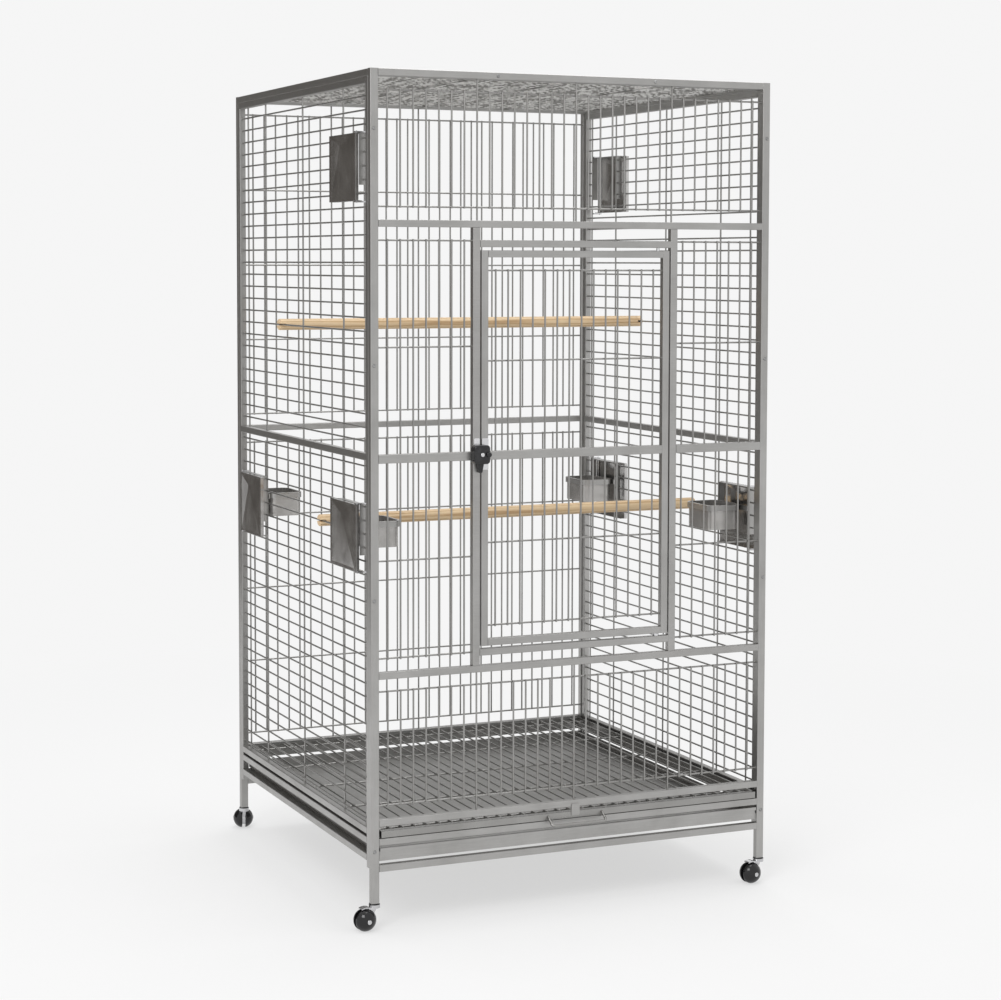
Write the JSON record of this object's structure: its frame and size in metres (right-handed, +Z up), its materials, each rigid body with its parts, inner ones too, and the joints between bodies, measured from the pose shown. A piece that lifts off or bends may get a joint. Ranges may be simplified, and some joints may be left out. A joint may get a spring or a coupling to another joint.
{
  "type": "parrot cage",
  "caption": "Free-standing parrot cage on ball casters, with a hinged front door and lock, feeder doors with cups, wooden perches, and a grate and tray that slide out.",
  "frame": {"origin": "on the floor, under the middle of the cage's posts", "axes": "+Z up, the door faces -Y, +X to the right of someone who looks at the door"},
  "size_m": [1.0901, 1.0669, 1.931],
  "materials": {
    "satin_steel": "satin, brushed along the tube",
    "polished_steel": "polished sheet",
    "plated_steel": "bright plated",
    "lock_plastic": "dark moulded",
    "ball_plastic": "glossy black",
    "plug_plastic": "matt black",
    "pine": "plain sanded"
  },
  "bodies": {
    "cage": {"back_frame": "satin_steel", "back_lower_wires": "satin_steel", "back_upper_wires": "satin_steel", "caster_sockets": "plug_plastic", "cup_holders": "satin_steel", "door_hinge_pins": "plated_steel", "feeder_hoods": "satin_steel", "feeder_lugs": "satin_steel", "feeder_pins": "plated_steel", "front_frame": "satin_steel", "front_left_wires": "satin_steel", "front_lower_wires": "satin_steel", "front_right_wires": "satin_steel", "front_upper_wires": "satin_steel", "grate_runners": "satin_steel", "left_frame": "satin_steel", "left_lower_wires": "satin_steel", "left_upper_wires": "satin_steel", "lock_keeper": "plated_steel", "panel_screws": "plated_steel", "perch_lower": "pine", "perch_upper": "pine", "post_caps": "satin_steel", "right_frame": "satin_steel", "right_lower_wires": "satin_steel", "right_upper_wires": "satin_steel", "roof_frame": "satin_steel", "roof_wires": "satin_steel", "tray_runners": "satin_steel"},
    "door": {"door_frame": "satin_steel", "door_wires": "satin_steel", "lock_case": "lock_plastic", "lock_cylinder": "polished_steel", "lock_plate": "satin_steel"},
    "lock": {"lock_knob": "lock_plastic", "lock_cam": "plated_steel"},
    "grate": {"grate_frame": "satin_steel", "grate_handle": "satin_steel", "grate_tab": "satin_steel", "grate_wires": "satin_steel"},
    "tray": {"tray": "satin_steel"},
    "caster_ball_back_left": {"caster_ball_back_left": "ball_plastic"},
    "caster_ball_back_right": {"caster_ball_back_right": "ball_plastic"},
    "caster_ball_front_left": {"caster_ball_front_left": "ball_plastic"},
    "caster_ball_front_right": {"caster_ball_front_right": "ball_plastic"},
    "caster_fork_back_left": {"caster_fork_back_left": "plated_steel"},
    "caster_fork_back_right": {"caster_fork_back_right": "plated_steel"},
    "caster_fork_front_left": {"caster_fork_front_left": "plated_steel"},
    "caster_fork_front_right": {"caster_fork_front_right": "plated_steel"},
    "cup_left_low_back": {"cup_left_low_back": "polished_steel"},
    "cup_left_low_front": {"cup_left_low_front": "polished_steel"},
    "cup_right_low_back": {"cup_right_low_back": "polished_steel"},
    "cup_right_low_front": {"cup_right_low_front": "polished_steel"},
    "feeder_door_left_high_front": {"feeder_door_left_high_front": "polished_steel"},
    "feeder_door_left_low_back": {"feeder_door_left_low_back": "polished_steel"},
    "feeder_door_left_low_front": {"feeder_door_left_low_front": "polished_steel"},
    "feeder_door_right_high_back": {"feeder_door_right_high_back": "polished_steel"},
    "feeder_door_right_low_back": {"feeder_door_right_low_back": "polished_steel"},
    "feeder_door_right_low_front": {"feeder_door_right_low_front": "polished_steel"}
  },
  "joints": [
    {"name": "door_swing", "type": "hinge", "parent": "cage", "child": "door", "pos_m": [0.213, -0.491, 1.08], "axis": [0, 0, 1], "range_deg": [0, 135]},
    {"name": "lock_turn", "type": "hinge", "parent": "door", "child": "lock", "pos_m": [-0.2315, -0.491, 1.069], "axis": [0, -1, 0], "range_deg": [0, 90]},
    {"name": "left_high_front_swing", "type": "hinge", "parent": "cage", "child": "feeder_door_left_high_front", "pos_m": [-0.5162, -0.4328, 1.716], "axis": [0, 0, 1], "range_deg": [0, 110]},
    {"name": "left_low_front_swing", "type": "hinge", "parent": "cage", "child": "feeder_door_left_low_front", "pos_m": [-0.5162, -0.4328, 0.883], "axis": [0, 0, 1], "range_deg": [0, 110]},
    {"name": "left_low_back_swing", "type": "hinge", "parent": "cage", "child": "feeder_door_left_low_back", "pos_m": [-0.5162, 0.4328, 0.883], "axis": [0, 0, -1], "range_deg": [0, 110]},
    {"name": "right_high_back_swing", "type": "hinge", "parent": "cage", "child": "feeder_door_right_high_back", "pos_m": [0.5162, 0.4328, 1.716], "axis": [0, 0, 1], "range_deg": [0, 110]},
    {"name": "right_low_front_swing", "type": "hinge", "parent": "cage", "child": "feeder_door_right_low_front", "pos_m": [0.5162, -0.4328, 0.883], "axis": [0, 0, -1], "range_deg": [0, 110]},
    {"name": "right_low_back_swing", "type": "hinge", "parent": "cage", "child": "feeder_door_right_low_back", "pos_m": [0.5162, 0.4328, 0.883], "axis": [0, 0, 1], "range_deg": [0, 110]},
    {"name": "cup_left_low_front_lift", "type": "slide", "parent": "cage", "child": "cup_left_low_front", "axis": [0, 0, 1], "range_m": [0, 0.07]},
    {"name": "cup_left_low_back_lift", "type": "slide", "parent": "cage", "child": "cup_left_low_back", "axis": [0, 0, 1], "range_m": [0, 0.07]},
    {"name": "cup_right_low_front_lift", "type": "slide", "parent": "cage", "child": "cup_right_low_front", "axis": [0, 0, 1], "range_m": [0, 0.07]},
    {"name": "cup_right_low_back_lift", "type": "slide", "parent": "cage", "child": "cup_right_low_back", "axis": [0, 0, 1], "range_m": [0, 0.07]},
    {"name": "grate_slide", "type": "slide", "parent": "cage", "child": "grate", "axis": [0, -1, 0], "range_m": [0, 1]},
    {"name": "tray_slide", "type": "slide", "parent": "cage", "child": "tray", "axis": [0, -1, 0], "range_m": [0, 1]},
    {"name": "front_left_swivel", "type": "hinge", "parent": "cage", "child": "caster_fork_front_left", "pos_m": [-0.4985, -0.491, 0.055], "axis": [0, 0, 1], "continuous": true},
    {"name": "front_left_roll", "type": "hinge", "parent": "caster_fork_front_left", "child": "caster_ball_front_left", "pos_m": [-0.52237, -0.49351, 0.025], "axis": [-0.1045, 0.9945, 0], "continuous": true},
    {"name": "front_right_swivel", "type": "hinge", "parent": "cage", "child": "caster_fork_front_right", "pos_m": [0.4985, -0.491, 0.055], "axis": [0, 0, 1], "continuous": true},
    {"name": "front_right_roll", "type": "hinge", "parent": "caster_fork_front_right", "child": "caster_ball_front_right", "pos_m": [0.47473, -0.49434, 0.025], "axis": [-0.1392, 0.9903, 0], "continuous": true},
    {"name": "back_left_swivel", "type": "hinge", "parent": "cage", "child": "caster_fork_back_left", "pos_m": [-0.4985, 0.491, 0.055], "axis": [0, 0, 1], "continuous": true},
    {"name": "back_left_roll", "type": "hinge", "parent": "caster_fork_back_left", "child": "caster_ball_back_left", "pos_m": [-0.49351, 0.51448, 0.025], "axis": [0.9781, -0.2079, 0], "continuous": true},
    {"name": "back_right_swivel", "type": "hinge", "parent": "cage", "child": "caster_fork_back_right", "pos_m": [0.4985, 0.491, 0.055], "axis": [0, 0, 1], "continuous": true},
    {"name": "back_right_roll", "type": "hinge", "parent": "caster_fork_back_right", "child": "caster_ball_back_right", "pos_m": [0.51605, 0.47463, 0.025], "axis": [-0.682, -0.7314, 0], "continuous": true}
  ]
}
